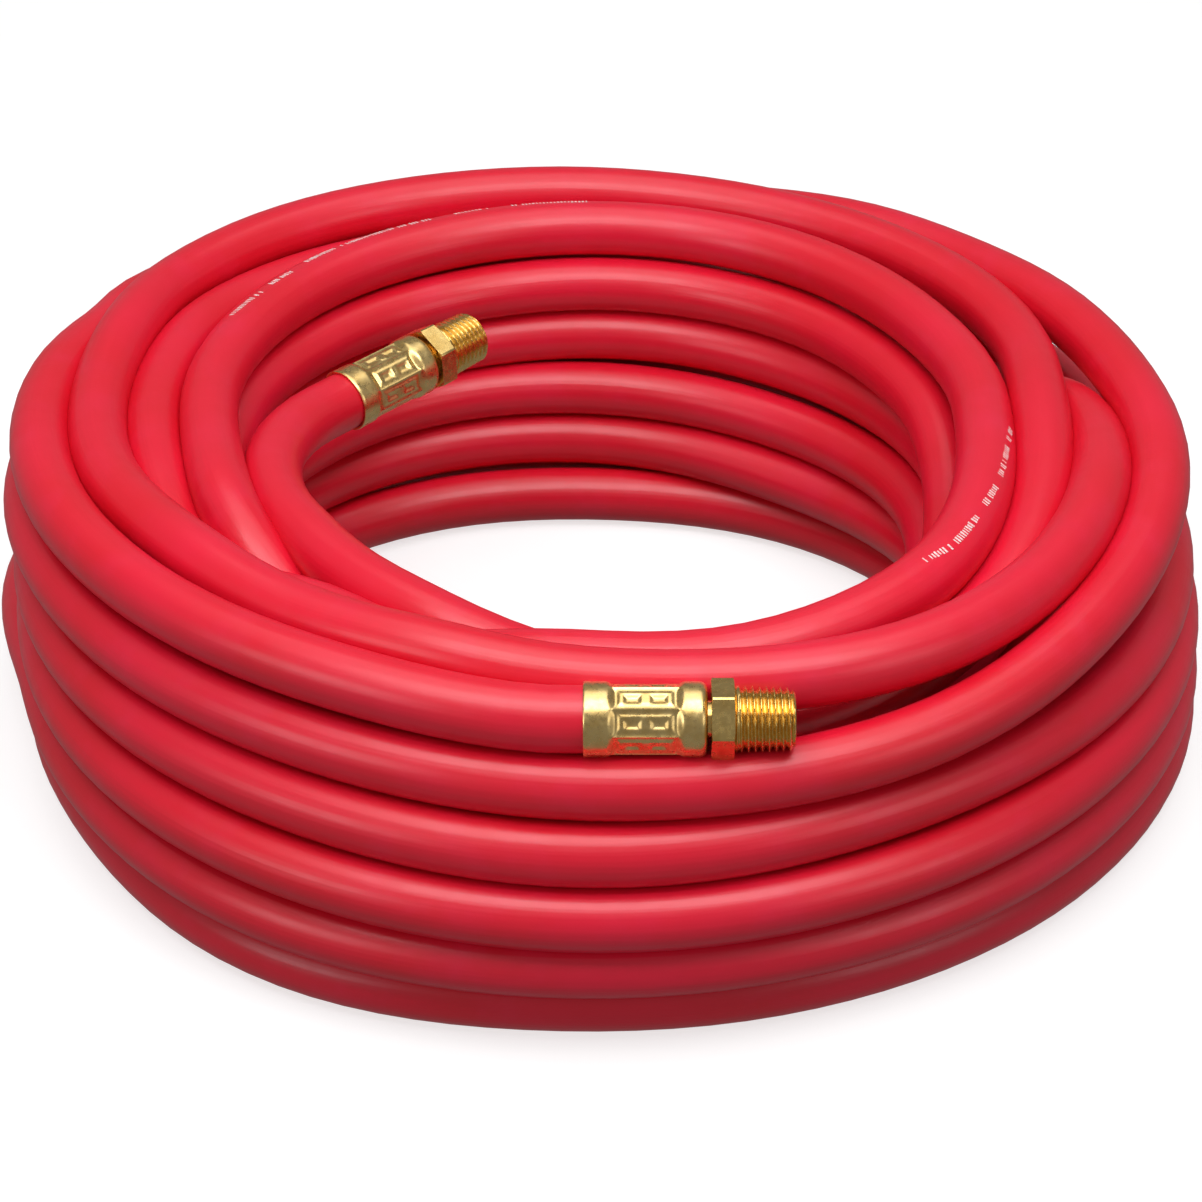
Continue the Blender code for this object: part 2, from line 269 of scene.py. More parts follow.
def down_the_middle():
    """Down a column in the middle of the coil, from the top turns to the floor."""
    knots = []
    for turn, row in enumerate(MIDDLE_ROWS):
        knots += level_knots(MIDDLE_TURN + turn, MIDDLE, row_height(row))
    degrees, radius, height = knots[0]
    return [(degrees, radius, height + MIDDLE_ENTRY), *knots[1:]]


def up_the_outside():
    """Outwards along the floor and up the outer wall, changing level at the back."""
    knots = level_knots(OUTSIDE_TURN, ALONG_FLOOR, row_height(0))
    for row, (radii, lift) in enumerate(zip(OUTSIDE_WALL, BACK_LIFT)):
        turns = OUTSIDE_TURN + row
        height = row_height(row)
        knots += level_knots(turns, zip(OUTSIDE_AT, radii), height)
        knots += level_knots(turns, OUTSIDE_BACK, height + lift)
        knots += level_knots(turns, OUTSIDE_RISE, height + RISE + RISE_SHARE * lift)
    return knots


def winding_knots():
    """All the knots from the inner end to the front end, in order."""
    inner_end = [polar(point) for point in reversed(INNER_ROUTE)]
    front_end = [(FULL_TURN * FRONT_TURN + at, radius, height) for at, radius, height in FRONT_ROUTE]
    return np.array([
        *inner_end, *SINKING, *down_the_eye(), *up_the_column(), *TOP_TURNS,
        *down_the_middle(), *up_the_outside(), *LAST_TURN, *front_end,
    ], float)


def smooth(at, knots, values):
    """Values at the places in at, on a smooth curve through unevenly spaced knots."""
    slopes = np.gradient(values, knots)
    index = np.clip(np.searchsorted(knots, at, side="right") - 1, 0, len(knots) - 2)
    span = knots[index + 1] - knots[index]
    t = (at - knots[index]) / span
    start = (2 * t**3 - 3 * t**2 + 1) * values[index] + (t**3 - 2 * t**2 + t) * span * slopes[index]
    end = (3 * t**2 - 2 * t**3) * values[index + 1] + (t**3 - t**2) * span * slopes[index + 1]
    return start + end


def firmness(degrees):
    """How firmly each station keeps its place while the winding settles."""
    firm = np.full(len(degrees), HIDDEN)
    for start, end, around_start, around_end, share in FIRM:
        within = (degrees - around_start) % FULL_TURN <= around_end - around_start
        firm[(degrees >= start) & (degrees <= end) & within] = share
    return firm


def neighbours(count):
    """Pairs of stations that lie at the same place round the coil, on different turns."""
    per_turn = FULL_TURN // STATION
    first = FIRST_STATION // STATION
    turns = math.ceil((first + count) / per_turn)
    grid = np.full(turns * per_turn, -1)
    grid[first:first + count] = np.arange(count)
    grid = grid.reshape(turns, per_turn)
    low, high = np.triu_indices(turns, 1)
    one, other = grid[low].ravel(), grid[high].ravel()
    both = (one >= 0) & (other >= 0)
    return one[both], other[both]


def bend_of(values):
    """How far each station lies off the middle of its two neighbours."""
    bend = np.zeros_like(values)
    bend[1:-1] = (values[:-2] + values[2:]) / 2 - values[1:-1]
    return bend


def settled_winding():
    """Stations of the winding after the turns have pushed each other aside and sunk together."""
    knots = winding_knots()
    degrees = np.arange(FIRST_STATION, LAST_STATION + 1, STATION, dtype=float)
    place = np.stack([smooth(degrees, knots[:, 0], knots[:, axis]) for axis in (1, 2)], axis=1)
    home = place.copy()
    firm = firmness(degrees)[:, None]
    ease = 1.0 - HOLD * np.clip(HOLD_GAIN * firm, 0, 1)
    hidden = firm[:, 0] == HIDDEN
    one, other = neighbours(len(degrees))
    for _ in range(SETTLING_ROUNDS):
        apart = place[other] - place[one]
        distance = np.hypot(apart[:, :1], apart[:, 1:]) + NEVER_ZERO
        hit = distance[:, 0] < TOUCHING
        near, far = one[hit], other[hit]
        share = PUSH * (TOUCHING - distance[hit]) / distance[hit] / (ease[near] + ease[far])
        push = apart[hit] * share
        np.add.at(place, near, -push * ease[near])
        np.add.at(place, far, push * ease[far])
        place[hidden, 1] -= DROP
        for _ in range(SMOOTHINGS):
            place -= SMOOTHING * bend_of(bend_of(place)) * ease
        place += PULL_HOME * firm * (home - place)
        place[:, 1] = np.maximum(place[:, 1], row_height(0))
    return degrees, place[:, 0], place[:, 1]


def round_coil(degrees, radius, height):
    turn = np.radians(degrees)
    return np.stack([radius * np.cos(turn), radius * np.sin(turn), height], axis=-1)


def hose_line():
    """Points every RING_STEP along the middle of the hose, from the inner mouth to the front mouth."""
    degrees, radius, height = settled_winding()
    wound = round_coil(degrees, radius, height)
    inner = [INNER_MOUTH, INNER_MOUTH - STRAIGHT * INNER_DIRECTION, Vector(INNER_ROUTE[-1])]
    front = [FRONT_MOUTH - STRAIGHT * FRONT_DIRECTION, FRONT_MOUTH]
    line = HOSE * np.concatenate([np.array(inner), wound, np.array(front)])
    gone = np.concatenate([[0.0], np.cumsum(np.linalg.norm(np.diff(line, axis=0), axis=1))])
    count = round(gone[-1] / RING_STEP)
    at = np.linspace(0.0, gone[-1], count + 1)
    return np.stack([smooth(at, gone, line[:, axis]) for axis in range(3)], axis=1)


# ---------------------------------------------------------------- meshes


def plain_object(name, mesh, finish):
    made = bpy.data.objects.new(name, mesh)
    bpy.context.scene.collection.objects.link(made)
    mesh.materials.append(finish)
    return made


def skin(name, rings, finish, along, around, crease, loop=False):
    """A closed mesh through rings of points. Its UV is the way along it and the way round, in metres."""
    count, sides = rings.shape[:2]
    rows = count if loop else count - 1
    faces = []
    for row in range(rows):
        here, there = row * sides, (row + 1) % count * sides
        for side in range(sides):
            step = (side + 1) % sides
            faces.append((here + side, here + step, there + step, there + side))
    if not loop:
        faces.append(tuple(reversed(range(sides))))
        faces.append(tuple(range((count - 1) * sides, count * sides)))
    mesh = bpy.data.meshes.new(name)
    mesh.from_pydata(rings.reshape(-1, 3).tolist(), [], faces)
    corners = np.zeros((len(mesh.loops), 2))
    row, side = np.divmod(np.repeat(np.arange(rows * sides), 4), sides)
    further = np.tile((0, 0, 1, 1), rows * sides)
    aside = np.tile((0, 1, 1, 0), rows * sides)
    corners[: len(row), 0] = along[np.minimum(row + further, count - 1)]
    corners[: len(row), 1] = (side + aside) * around / sides
    mesh.uv_layers.new(name="along_around").data.foreach_set("uv", corners.ravel())
    bm = bmesh.new()
    bm.from_mesh(mesh)
    bmesh.ops.recalc_face_normals(bm, faces=bm.faces)
    bm.to_mesh(mesh)
    bm.free()
    mesh.shade_smooth()
    mesh.set_sharp_from_angle(angle=math.radians(crease))
    return plain_object(name, mesh, finish)


def turns_of(sides):
    """Angles of evenly spaced sides."""
    return math.tau * np.arange(sides) / sides


def line_frames(line):
    """Directions along, outwards to the side and up at each point of a line that runs nearly level."""
    ahead = np.gradient(line, axis=0)
    ahead /= np.linalg.norm(ahead, axis=1)[:, None]
    side = np.cross(ahead, (0.0, 0.0, 1.0))
    side /= np.linalg.norm(side, axis=1)[:, None]
    up = np.cross(side, ahead)
    return ahead, side, up


def hose(line, finish):
    """The whole hose as one skin, with a socket at each end that goes over the sleeves in the ferrule."""
    ahead, side, up = line_frames(line)
    turn = turns_of(RING_SIDES) - math.pi / 2
    spokes = np.cos(turn)[None, :, None] * side[:, None, :] + np.sin(turn)[None, :, None] * up[:, None, :]
    rings = line[:, None, :] + HOSE / 2 * spokes
    sockets = []
    for end, out in ((0, -ahead[0]), (-1, ahead[-1])):
        sockets.append([
            line[end] - SOCKET_FLOOR * out + SOCKET_RADIUS * spokes[end],
            line[end] + SKIN_TUCK * out + SOCKET_RADIUS * spokes[end],
            line[end] + SKIN_TUCK * out + HOSE / 2 * spokes[end],
        ])
    rings = np.concatenate([sockets[0], rings, sockets[1][::-1]])
    along = RING_STEP * np.arange(len(line))
    along = np.concatenate([[along[0]] * 3, along, [along[-1]] * 3])
    return skin("air_hose", rings, finish, along, math.pi * HOSE, HOSE_CREASE)


def fitting_place(mouth, direction, roll):
    aim = direction.to_track_quat("X", "Z").to_matrix().to_4x4()
    return Matrix.Translation(HOSE * mouth) @ aim @ Matrix.Rotation(math.radians(roll), 4, "X")


def turned_rings(stations, sides):
    """Rings round the X axis from (along, radius) stations. A radius may differ from side to side."""
    turn = turns_of(sides)
    rings = []
    for along, radius in stations:
        reach = np.broadcast_to(radius, turn.shape)
        rings.append(np.stack([np.full(sides, along), reach * np.cos(turn), reach * np.sin(turn)], axis=1))
    return np.array(rings)


def placed(rings, place):
    matrix = np.array(place)
    return rings @ matrix[:3, :3].T + matrix[:3, 3]


def step_up(low, high, value):
    """0 below low, 1 above high and smooth between."""
    t = np.clip((value - low) / (high - low), 0, 1)
    return t * t * (3 - 2 * t)


def box_shape(along, half_length, across, half_width, edge):
    """1 inside a rectangle with soft edges, 0 outside."""
    inside = np.minimum(half_length - np.abs(along), half_width - np.abs(across))
    return step_up(-edge / 2, edge / 2, inside)


def from_flat(turn, flats):
    """Angle from the middle of the nearest of so many flats."""
    sector = math.tau / flats
    return (turn + sector / 2) % sector - sector / 2


def turned_piece(name, stations, sides, place, radius, finish, crease):
    """A closed piece round its own axis from its stations, set in its place."""
    rings = placed(turned_rings(stations, sides), place)
    along = np.array([station[0] for station in stations])
    return skin(name, rings, finish, along, math.tau * radius, crease, loop=True)


def ferrule_radius(along):
    """Outside radius all round at one station: round bands, and pressed flats that each have a pad."""
    off = from_flat(turns_of(FERRULE_SIDES), CRIMP_SIDES)
    from_middle = along - (CRIMP_START + CRIMP_END) / 2
    half = (CRIMP_END - CRIMP_START) / 2
    crimped = step_up(-CRIMP_FADE / 2, CRIMP_FADE / 2, half - abs(from_middle))
    rounded = FERRULE_RADIUS - CRIMP_PRESS * crimped
    flat = CRIMP_RADIUS / np.cos(off)
    radius = rounded + crimped * (np.minimum(flat, rounded) - rounded)
    for place, half_length, aside, half_width, edge, rise in STAMPS:
        across = CRIMP_RADIUS * off - aside
        radius = radius + rise * box_shape(from_middle - place, half_length, across, half_width, edge)
    return radius


def ferrule(name, mouth, direction, roll, finish):
    """Crimped sleeve: rolled mouth, round bands, the crimp between them and a lip closed on the neck."""
    inside = FERRULE_RADIUS - FERRULE_WALL
    crimp_inside = CRIMP_RADIUS - FERRULE_WALL - 2 * EDGE
    shoulder = FERRULE_LENGTH - SHOULDER
    close_start, close_end = CRIMP_START - CRIMP_REACH, CRIMP_END + CRIMP_REACH
    stations = [(along, FERRULE_RADIUS + outside) for along, outside in MOUTH]
    outer = np.concatenate([
        np.linspace(BAND_START, close_start - CRIMP_STEP, BAND_RINGS),
        np.arange(close_start, close_end + CRIMP_STEP / 2, CRIMP_STEP),
        np.linspace(close_end + 2 * CRIMP_STEP, shoulder, BAND_RINGS),
    ])
    stations += [(along, ferrule_radius(along)) for along in outer]
    for turn in np.radians(SHOULDER_TURNS):
        radius = FERRULE_RADIUS - SHOULDER_DROP * (1 - math.cos(turn))
        stations.append((shoulder + SHOULDER * math.sin(turn), radius))
    stations += [
        (FERRULE_LENGTH, LIP_RADIUS + EDGE), (FERRULE_LENGTH - EDGE, LIP_RADIUS),
        (FERRULE_LENGTH - FERRULE_WALL, LIP_RADIUS), (FERRULE_LENGTH - FERRULE_WALL, inside - SHOULDER),
        (shoulder - FERRULE_WALL / 2, inside), (close_end, inside), (CRIMP_END - EDGE, crimp_inside),
        (CRIMP_START + EDGE, crimp_inside), (close_start, inside),
    ]
    place = fitting_place(mouth, direction, roll)
    return turned_piece(name, stations, FERRULE_SIDES, place, FERRULE_RADIUS, finish, FERRULE_CREASE)


def hexagon_radius(along, turn):
    """Hexagon with its corners turned off at both faces."""
    corner = HEX_FLATS / 2 / math.cos(math.pi / 6) - HEX_EDGE
    flat = np.minimum(HEX_FLATS / 2 / np.cos(from_flat(turn, 6)), corner)
    depth = min(along - HEX_START, HEX_START + HEX_LENGTH - along)
    return np.minimum(flat, HEX_TURNED + HEX_SLOPE * depth)


def thread_radius(along, turn):
    """Taper thread: one helix of rounded V grooves that fades in behind and is chamfered at the end."""
    crest = THREAD_RADIUS - THREAD_TAPER * (along - THREAD_START)
    phase = ((along - THREAD_START) / THREAD_PITCH - turn / math.tau) % 1.0
    groove = np.clip(FLANK * (1 - np.abs(2 * phase - 1)) - CREST, 0, 1)
    begins, whole = THREAD_FADE
    fade = step_up(THREAD_START + begins, THREAD_START + whole, along)
    chamfer = max(along - (THREAD_END - THREAD_CHAMFER), 0.0)
    return np.minimum(crest - THREAD_DEPTH * groove * fade, crest - chamfer)


def stem(name, mouth, direction, roll, finish):
    """Barbed shank, neck, hexagon and thread in one turned piece with a bore right through."""
    turn = turns_of(STEM_SIDES)
    hex_end = HEX_START + HEX_LENGTH
    relief = THREAD_RADIUS - THREAD_RELIEF
    stations = [(SHANK_START, STEM_BORE), (SHANK_START, SHANK_RADIUS)]
    for barb in range(BARBS):
        crest = SHANK_START + (barb + BARB_CREST) * BARB_PITCH
        stations += [(crest, BARB_RADIUS), (crest + EDGE, SHANK_RADIUS)]
    stations += [
        (NECK_START, SHANK_RADIUS), (NECK_START + NECK_TAPER, NECK_RADIUS),
        (HEX_START, NECK_RADIUS), (HEX_START, HEX_FACE),
    ]
    hexagon = [HEX_START + step for step in HEX_STEPS]
    hexagon.append(HEX_START + HEX_LENGTH / 2)
    hexagon += [hex_end - step for step in reversed(HEX_STEPS)]
    stations += [(along, hexagon_radius(along, turn)) for along in hexagon]
    stations += [(hex_end, HEX_FACE), (hex_end, relief + CHAMFER), (hex_end + EDGE, relief)]
    ring_step = THREAD_PITCH / THREAD_RINGS
    for along in np.arange(THREAD_START - CHAMFER, THREAD_END - ring_step / 2, ring_step):
        stations.append((along, thread_radius(along, turn)))
    stations += [
        (THREAD_END, THREAD_RADIUS - THREAD_NOSE), (THREAD_END, STEM_BORE + CHAMFER),
        (THREAD_END - CHAMFER, STEM_BORE),
    ]
    place = fitting_place(mouth, direction, roll)
    return turned_piece(name, stations, STEM_SIDES, place, THREAD_RADIUS, finish, STEM_CREASE)


# ---------------------------------------------------------------- materials


class Finish:
    """A material and short ways to add and join its nodes."""

    def __init__(self, name):
        self.material = bpy.data.materials.new(name)
        self.material.use_nodes = True
        self.tree = self.material.node_tree
        self.shader = self.tree.nodes["Principled BSDF"]

    def add(self, kind, **settings):
        node = self.tree.nodes.new(kind)
        for key, value in settings.items():
            setattr(node, key, value)
        return node

    def join(self, output, socket):
        self.tree.links.new(output, socket)

    def set(self, **values):
        for key, value in values.items():
            self.shader.inputs[key.replace("_", " ")].default_value = value

    def noise(self, coordinates, scale, detail=3.0, roughness=0.5):
        node = self.add("ShaderNodeTexNoise")
        node.inputs["Scale"].default_value = scale
        node.inputs["Detail"].default_value = detail
        node.inputs["Roughness"].default_value = roughness
        self.join(coordinates, node.inputs["Vector"])
        return node.outputs["Fac"]

    def stretched(self, coordinates, scale):
        node = self.add("ShaderNodeMapping")
        node.inputs["Scale"].default_value = scale
        self.join(coordinates, node.inputs["Vector"])
        return node.outputs["Vector"]

    def ramp(self, value, low, high, to_low=0.0, to_high=1.0):
        node = self.add("ShaderNodeMapRange")
        node.inputs["From Min"].default_value = low
        node.inputs["From Max"].default_value = high
        node.inputs["To Min"].default_value = to_low
        node.inputs["To Max"].default_value = to_high
        self.join(value, node.inputs["Value"])
        return node.outputs["Result"]

    def blend(self, factor, first, second):
        node = self.add("ShaderNodeMix", data_type="RGBA")
        self.join(factor, node.inputs["Factor"])
        for socket, colour in ((node.inputs["A"], first), (node.inputs["B"], second)):
            if isinstance(colour, tuple):
                socket.default_value = colour
            else:
                self.join(colour, socket)
        return node.outputs["Result"]

    def sum(self, first, second, weight):
        node = self.add("ShaderNodeMath", operation="MULTIPLY_ADD")
        self.join(second, node.inputs[0])
        node.inputs[1].default_value = weight
        self.join(first, node.inputs[2])
        return node.outputs[0]

    def colour(self, output):
        self.join(output, self.shader.inputs["Base Color"])

    def roughness(self, output):
        self.join(output, self.shader.inputs["Roughness"])

    def bump(self, height, distance, strength):
        node = self.add("ShaderNodeBump")
        node.inputs["Distance"].default_value = distance
        node.inputs["Strength"].default_value = strength
        self.join(height, node.inputs["Height"])
        self.join(node.outputs["Normal"], self.shader.inputs["Normal"])

    def object_coordinates(self):
        return self.add("ShaderNodeTexCoord").outputs["Object"]

    def surface_coordinates(self):
        return self.add("ShaderNodeUVMap", uv_map="along_around").outputs["UV"]


def red_rubber():
    """Extruded crimson rubber: lines and bands along it, a fine grain, and a paler bloom in patches."""
    made = Finish("red_rubber")
    where = made.object_coordinates()
    along = made.surface_coordinates()
    deep = (0.72, 0.006, 0.022, 1.0)
    bright = (0.79, 0.009, 0.040, 1.0)
    pale = (0.79, 0.016, 0.062, 1.0)
    patches = made.ramp(made.noise(where, 22.0, 4.0), 0.35, 0.7)
    bloom = made.ramp(made.noise(where, 60.0, 5.0, 0.65), 0.52, 0.8, 0.0, 0.6)
    made.colour(made.blend(bloom, made.blend(patches, deep, bright), pale))
    mottle = made.ramp(made.noise(where, 160.0), 0.3, 0.7, 0.24, 0.31)
    lines = made.noise(made.stretched(along, (6.0, 1500.0, 1.0)), 1.0, 2.0)
    bands = made.noise(made.stretched(along, (3.0, 480.0, 1.0)), 1.0, 2.0)
    made.roughness(made.sum(mottle, bands, 0.14))
    grain = made.noise(where, 2600.0, 2.0)
    made.bump(made.sum(made.sum(lines, bands, 1.5), grain, 0.4), 0.00007, 0.6)
    made.set(Specular_IOR_Level=0.62)
    return made.material


def brass(name, base, worn, roughness, lathe):
    """Yellow brass with patchy tarnish, small dents in its shine and tool rings as strong as lathe."""
    made = Finish(name)
    where = made.object_coordinates()
    along = made.surface_coordinates()
    tarnish = made.ramp(made.noise(where, 320.0, 5.0, 0.6), 0.4, 0.75)
    made.colour(made.blend(tarnish, base, worn))
    smudges = made.noise(where, 900.0)
    made.roughness(made.ramp(smudges, 0.3, 0.7, roughness - 0.05, roughness + 0.09))
    rings = made.noise(made.stretched(along, (9000.0, 20.0, 1.0)), 1.0, 2.0)
    ripple = made.noise(where, 420.0, 2.0)
    made.bump(made.sum(ripple, rings, lathe), 0.00006, 0.35)
    made.set(Metallic=1.0)
    return made.material


def formed_brass():
    return brass("formed_brass", (0.90, 0.65, 0.27, 1.0), (0.76, 0.49, 0.16, 1.0), 0.28, 0.1)


def turned_brass():
    return brass("turned_brass", (0.90, 0.63, 0.23, 1.0), (0.74, 0.47, 0.14, 1.0), 0.22, 0.5)


def black_rubber():
    """The hose's liner, with a fine speckle."""
    made = Finish("black_rubber")
    speckle = made.ramp(made.noise(made.object_coordinates(), 900.0), 0.35, 0.65)
    made.colour(made.blend(speckle, (0.012, 0.012, 0.013, 1.0), (0.035, 0.035, 0.037, 1.0)))
    made.bump(speckle, 0.00005, 0.4)
    made.set(Roughness=0.6)
    return made.material


def reinforcing_yarn():
    """Crossed yarn round the hose's liner."""
    made = Finish("reinforcing_yarn")
    wave = made.add("ShaderNodeTexWave", wave_type="BANDS", bands_direction="DIAGONAL")
    wave.inputs["Scale"].default_value = 700.0
    wave.inputs["Distortion"].default_value = 2.0
    made.join(made.object_coordinates(), wave.inputs["Vector"])
    strands = wave.outputs["Fac"]
    made.colour(made.blend(strands, (0.42, 0.38, 0.30, 1.0), (0.78, 0.74, 0.64, 1.0)))
    made.bump(strands, 0.0001, 0.6)
    made.set(Roughness=0.8)
    return made.material


def white_ink():
    """White print that lets some of the rubber through."""
    made = Finish("white_ink")
    worn = made.ramp(made.noise(made.object_coordinates(), 2200.0), 0.4, 0.65)
    made.colour(made.blend(worn, (0.86, 0.80, 0.78, 1.0), (0.85, 0.45, 0.45, 1.0)))
    made.set(Roughness=0.6)
    return made.material


# ---------------------------------------------------------------- printed dashes

INK_RUNS = (  # degrees from and to, and the tilt outwards from the top of the hose at both ends
    (3912.5, 3917, 12, 24), (3918.5, 3925.5, 25, 27), (3928.5, 3933.5, 28, 34), (3937, 3945.5, 36, 41),
    (3947.5, 3954, 43, 55), (4052, 4062, 13, 17), (4065, 4070, 19, 19), (4074, 4095, 14, 14),
    (4099, 4104, 6, 10), (4106.5, 4114, 7, 18),
)
INK_STEP = 0.5  # degrees between the points of a run
DASH_SIZES = {"Pitch": 0.0009, "Height": 0.0016, "Width": 0.00035, "Thickness": 0.00008}
DASH_SEED = 5
DASHES_KEPT = 0.86
SMALLEST_DASH = (0.7, 0.75, 1.0)  # scales of width, height and thickness
LARGEST_DASH = (1.7, 1.1, 1.0)


def dash_tree(finish):
    """Short upright dashes of random width along a line, some left out. Also the inputs' identifiers."""
    tree = bpy.data.node_groups.new("printed_dashes", "GeometryNodeTree")
    new_socket = tree.interface.new_socket
    new_socket("Geometry", in_out="INPUT", socket_type="NodeSocketGeometry")
    new_socket("Geometry", in_out="OUTPUT", socket_type="NodeSocketGeometry")
    identifiers = {}
    for name in DASH_SIZES:
        identifiers[name] = new_socket(name, in_out="INPUT", socket_type="NodeSocketFloat").identifier
    identifiers["Seed"] = new_socket("Seed", in_out="INPUT", socket_type="NodeSocketInt").identifier

    def add(kind, **settings):
        node = tree.nodes.new(kind)
        for key, value in settings.items():
            setattr(node, key, value)
        return node

    join = tree.links.new
    given = add("NodeGroupInput")
    result = add("NodeGroupOutput")
    curve = add("GeometryNodeMeshToCurve")
    join(given.outputs["Geometry"], curve.inputs["Mesh"])
    spaced = add("GeometryNodeResampleCurve", mode="LENGTH")
    join(curve.outputs["Curve"], spaced.inputs["Curve"])
    join(given.outputs["Pitch"], spaced.inputs["Length"])
    outwards = add("GeometryNodeInputNamedAttribute", data_type="FLOAT_VECTOR")
    outwards.inputs["Name"].default_value = "outwards"
    stand = add("FunctionNodeAlignRotationToVector", axis="Z")
    join(outwards.outputs["Attribute"], stand.inputs["Vector"])
    tangent = add("GeometryNodeInputTangent")
    face = add("FunctionNodeAlignRotationToVector", axis="X", pivot_axis="Z")
    join(stand.outputs["Rotation"], face.inputs["Rotation"])
    join(tangent.outputs["Tangent"], face.inputs["Vector"])
    dash = add("GeometryNodeMeshCube")
    size = add("ShaderNodeCombineXYZ")
    for name, axis in (("Width", "X"), ("Height", "Y"), ("Thickness", "Z")):
        join(given.outputs[name], size.inputs[axis])
    join(size.outputs["Vector"], dash.inputs["Size"])
    kept = add("FunctionNodeRandomValue", data_type="BOOLEAN")
    kept.inputs["Probability"].default_value = DASHES_KEPT
    join(given.outputs["Seed"], kept.inputs["Seed"])
    varied = add("FunctionNodeRandomValue", data_type="FLOAT_VECTOR")
    varied.inputs["Min"].default_value = SMALLEST_DASH
    varied.inputs["Max"].default_value = LARGEST_DASH
    join(given.outputs["Seed"], varied.inputs["Seed"])
    copies = add("GeometryNodeInstanceOnPoints")
    join(spaced.outputs["Curve"], copies.inputs["Points"])
    join(kept.outputs[3], copies.inputs["Selection"])  # its yes or no output
    join(dash.outputs["Mesh"], copies.inputs["Instance"])
    join(face.outputs["Rotation"], copies.inputs["Rotation"])
    join(varied.outputs[0], copies.inputs["Scale"])  # its vector output
    real = add("GeometryNodeRealizeInstances")
    join(copies.outputs["Instances"], real.inputs["Geometry"])
    inked = add("GeometryNodeSetMaterial")
    inked.inputs["Material"].default_value = finish
    join(real.outputs["Geometry"], inked.inputs["Geometry"])
    join(inked.outputs["Geometry"], result.inputs["Geometry"])
    return tree, identifiers


def ink_line(line):
    """Guide line on the hose's skin: edges between points, each with its direction off the skin."""
    degrees = np.degrees(np.unwrap(np.arctan2(line[:, 1], line[:, 0])))
    degrees += polar(INNER_MOUTH)[0] - degrees[0]
    _, side, up = line_frames(line)
    points, edges, outwards = [], [], []
    for start, end, tilt_start, tilt_end in INK_RUNS:
        first = len(points)
        for at in np.arange(start, end + INK_STEP / 50, INK_STEP):
            tilt = math.radians(tilt_start + (tilt_end - tilt_start) * (at - start) / (end - start))
            middle, out, top = (
                Vector([np.interp(at, degrees, part[:, axis]) for axis in range(3)])
                for part in (line, side, up)
            )
            off = (math.sin(tilt) * out + math.cos(tilt) * top).normalized()
            points.append(middle + HOSE / 2 * off)
            outwards.append(off)
        edges += [(index, index + 1) for index in range(first, len(points) - 1)]
    mesh = bpy.data.meshes.new("ink_guide")
    mesh.from_pydata(points, edges, [])
    stored = mesh.attributes.new("outwards", "FLOAT_VECTOR", "POINT")
    stored.data.foreach_set("vector", [value for off in outwards for value in off])
    return mesh


def printed_dashes(line, finish):
    """Plain printed dashes along the hose, baked from the tree to one mesh."""
    guide = bpy.data.objects.new("ink_guide", ink_line(line))
    bpy.context.scene.collection.objects.link(guide)
    tree, identifiers = dash_tree(finish)
    modifier = guide.modifiers.new("printed_dashes", "NODES")
    modifier.node_group = tree
    for name, value in DASH_SIZES.items():
        modifier[identifiers[name]] = value
    modifier[identifiers["Seed"]] = DASH_SEED
    graph = bpy.context.evaluated_depsgraph_get()
    mesh = bpy.data.meshes.new_from_object(guide.evaluated_get(graph))
    mesh.name = "printed_dashes"
    bpy.data.objects.remove(guide)
    made = bpy.data.objects.new("printed_dashes", mesh)
    bpy.context.scene.collection.objects.link(made)
    return made


# ---------------------------------------------------------------- stage

CAMERA_PLACE = (0.0, -0.7238, 0.4520)
CAMERA_DOWN = 30.5  # degrees below level
CAMERA_LENS = 103.65  # millimetres, on a sensor of 36
FLOOR_REACH = 6.0  # from the middle to each side
FLOOR_GLOW = 0.70
ROOM_LIGHT = 0.22
LIGHT_AIM = Vector((0.0, 0.0, 0.04))
LIGHTS = (  # name, place, width and depth, watts
    ("key", (0.0, -0.30, 0.80), (1.0, 0.45), 5.7),
    ("overhead", (0.0, 0.35, 1.5), (1.4, 1.0), 6.0),
    ("left_fill", (-1.35, -1.00, 0.60), (0.8, 0.6), 4.0),
    ("right_fill", (1.35, -1.00, 0.60), (0.8, 0.6), 2.4),
)


def camera():
    """Looks down on the coil from the front, square on."""
    data = bpy.data.cameras.new("view")
    data.sensor_width = 36.0
    data.lens = CAMERA_LENS
    made = bpy.data.objects.new("view", data)
    made.location = CAMERA_PLACE
    made.rotation_euler = (math.radians(90 - CAMERA_DOWN), 0.0, 0.0)
    bpy.context.scene.collection.objects.link(made)
    bpy.context.scene.camera = made


def pale_floor():
    """A floor that glows evenly. The hose and the brass neither mirror it nor take light from it."""
    pale = Finish("pale_floor")
    faint = pale.ramp(pale.noise(pale.object_coordinates(), 3.0), 0.3, 0.7)
    pale.colour(pale.blend(faint, (0.40, 0.40, 0.40, 1.0), (0.42, 0.42, 0.42, 1.0)))
    pale.set(Roughness=0.9, Emission_Color=(1.0, 1.0, 1.0, 1.0), Emission_Strength=FLOOR_GLOW)
    corners = [(FLOOR_REACH * x, FLOOR_REACH * y, 0.0) for x, y in ((-1, -1), (1, -1), (1, 1), (-1, 1))]
    mesh = bpy.data.meshes.new("floor")
    mesh.from_pydata(corners, [], [(0, 1, 2, 3)])
    floor = plain_object("floor", mesh, pale.material)
    floor.visible_diffuse = False
    floor.visible_glossy = False
    return floor


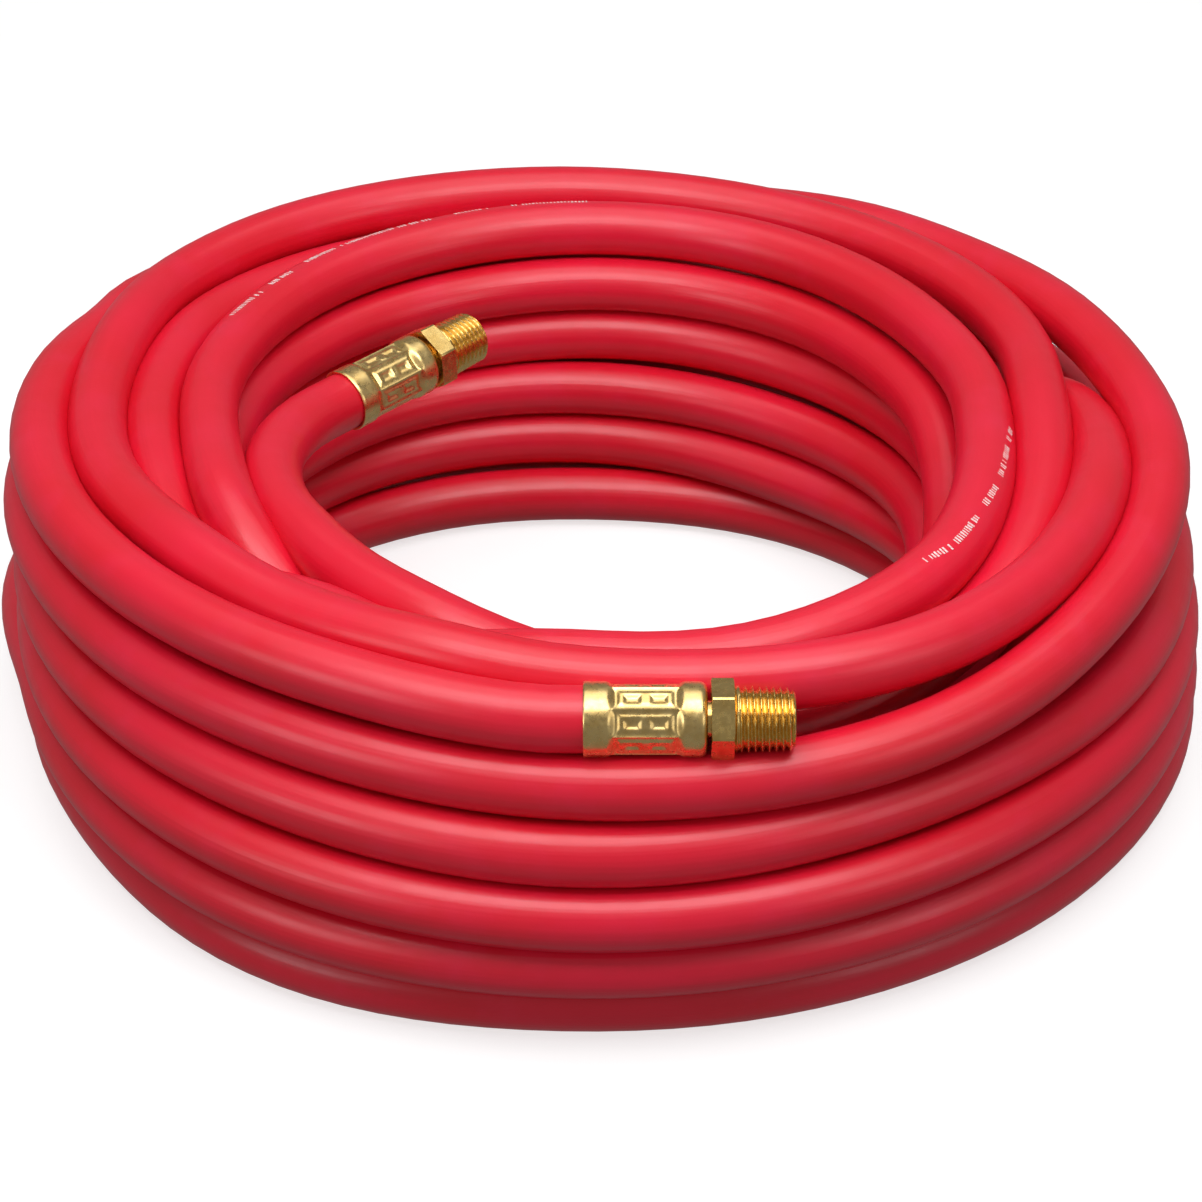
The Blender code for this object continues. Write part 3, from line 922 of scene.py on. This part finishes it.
def soft_light(name, place, size, power):
    data = bpy.data.lights.new(name, "AREA")
    data.shape = "RECTANGLE"
    data.size, data.size_y = size
    data.energy = power
    made = bpy.data.objects.new(name, data)
    made.location = place
    made.rotation_euler = (LIGHT_AIM - Vector(place)).to_track_quat("-Z", "Y").to_euler()
    bpy.context.scene.collection.objects.link(made)


def studio():
    """Pale floor, a white room and soft lights."""
    pale_floor()
    world = bpy.data.worlds.new("room")
    world.use_nodes = True
    shade = world.node_tree.nodes["Background"]
    shade.inputs["Color"].default_value = (1.0, 1.0, 1.0, 1.0)
    shade.inputs["Strength"].default_value = ROOM_LIGHT
    bpy.context.scene.world = world
    for light in LIGHTS:
        soft_light(*light)
    bpy.context.scene.view_settings.view_transform = "Standard"


# ---------------------------------------------------------------- build


def declare(piece, slot, *stands_for):
    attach(piece, "root")
    if stands_for:
        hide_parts(*stands_for)


def end_fittings():
    """Both ferrules, then both stems, each in the place of its solid."""
    formed = formed_brass()
    turned = turned_brass()
    front = (FRONT_MOUTH, FRONT_DIRECTION)
    inner = (INNER_MOUTH, INNER_DIRECTION)
    pieces = []
    for make, kind, solid, finish, rolls in (
        (ferrule, "crimped_ferrule", "ferrule", formed, (FRONT_CRIMP_ROLL, INNER_CRIMP_ROLL)),
        (stem, "threaded_stem", "stem", turned, (FRONT_HEX_ROLL, INNER_HEX_ROLL)),
    ):
        for end, (mouth, direction), roll in zip(("front", "inner"), (front, inner), rolls):
            piece = make(f"{end}_{kind}", mouth, direction, roll, finish)
            declare(piece, "fitting_brass", f"{end}_{solid}")
            pieces.append(piece)
    return pieces


def main():
    camera()
    line = hose_line()
    rubber = red_rubber()
    air_hose = hose(line, rubber)
    declare(air_hose, "hose_cover", "hose_coil", "front_hose_end", "inner_hose_end")
    fittings = end_fittings()
    declare(printed_dashes(line, white_ink()), "hose_cover")
    layers = {"cover": rubber, "braid": reinforcing_yarn(), "liner": black_rubber()}
    for end in ("front", "inner"):
        for layer, finish in layers.items():
            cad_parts[f"{end}_{layer}"].data.materials[0] = finish
    studio()


main()
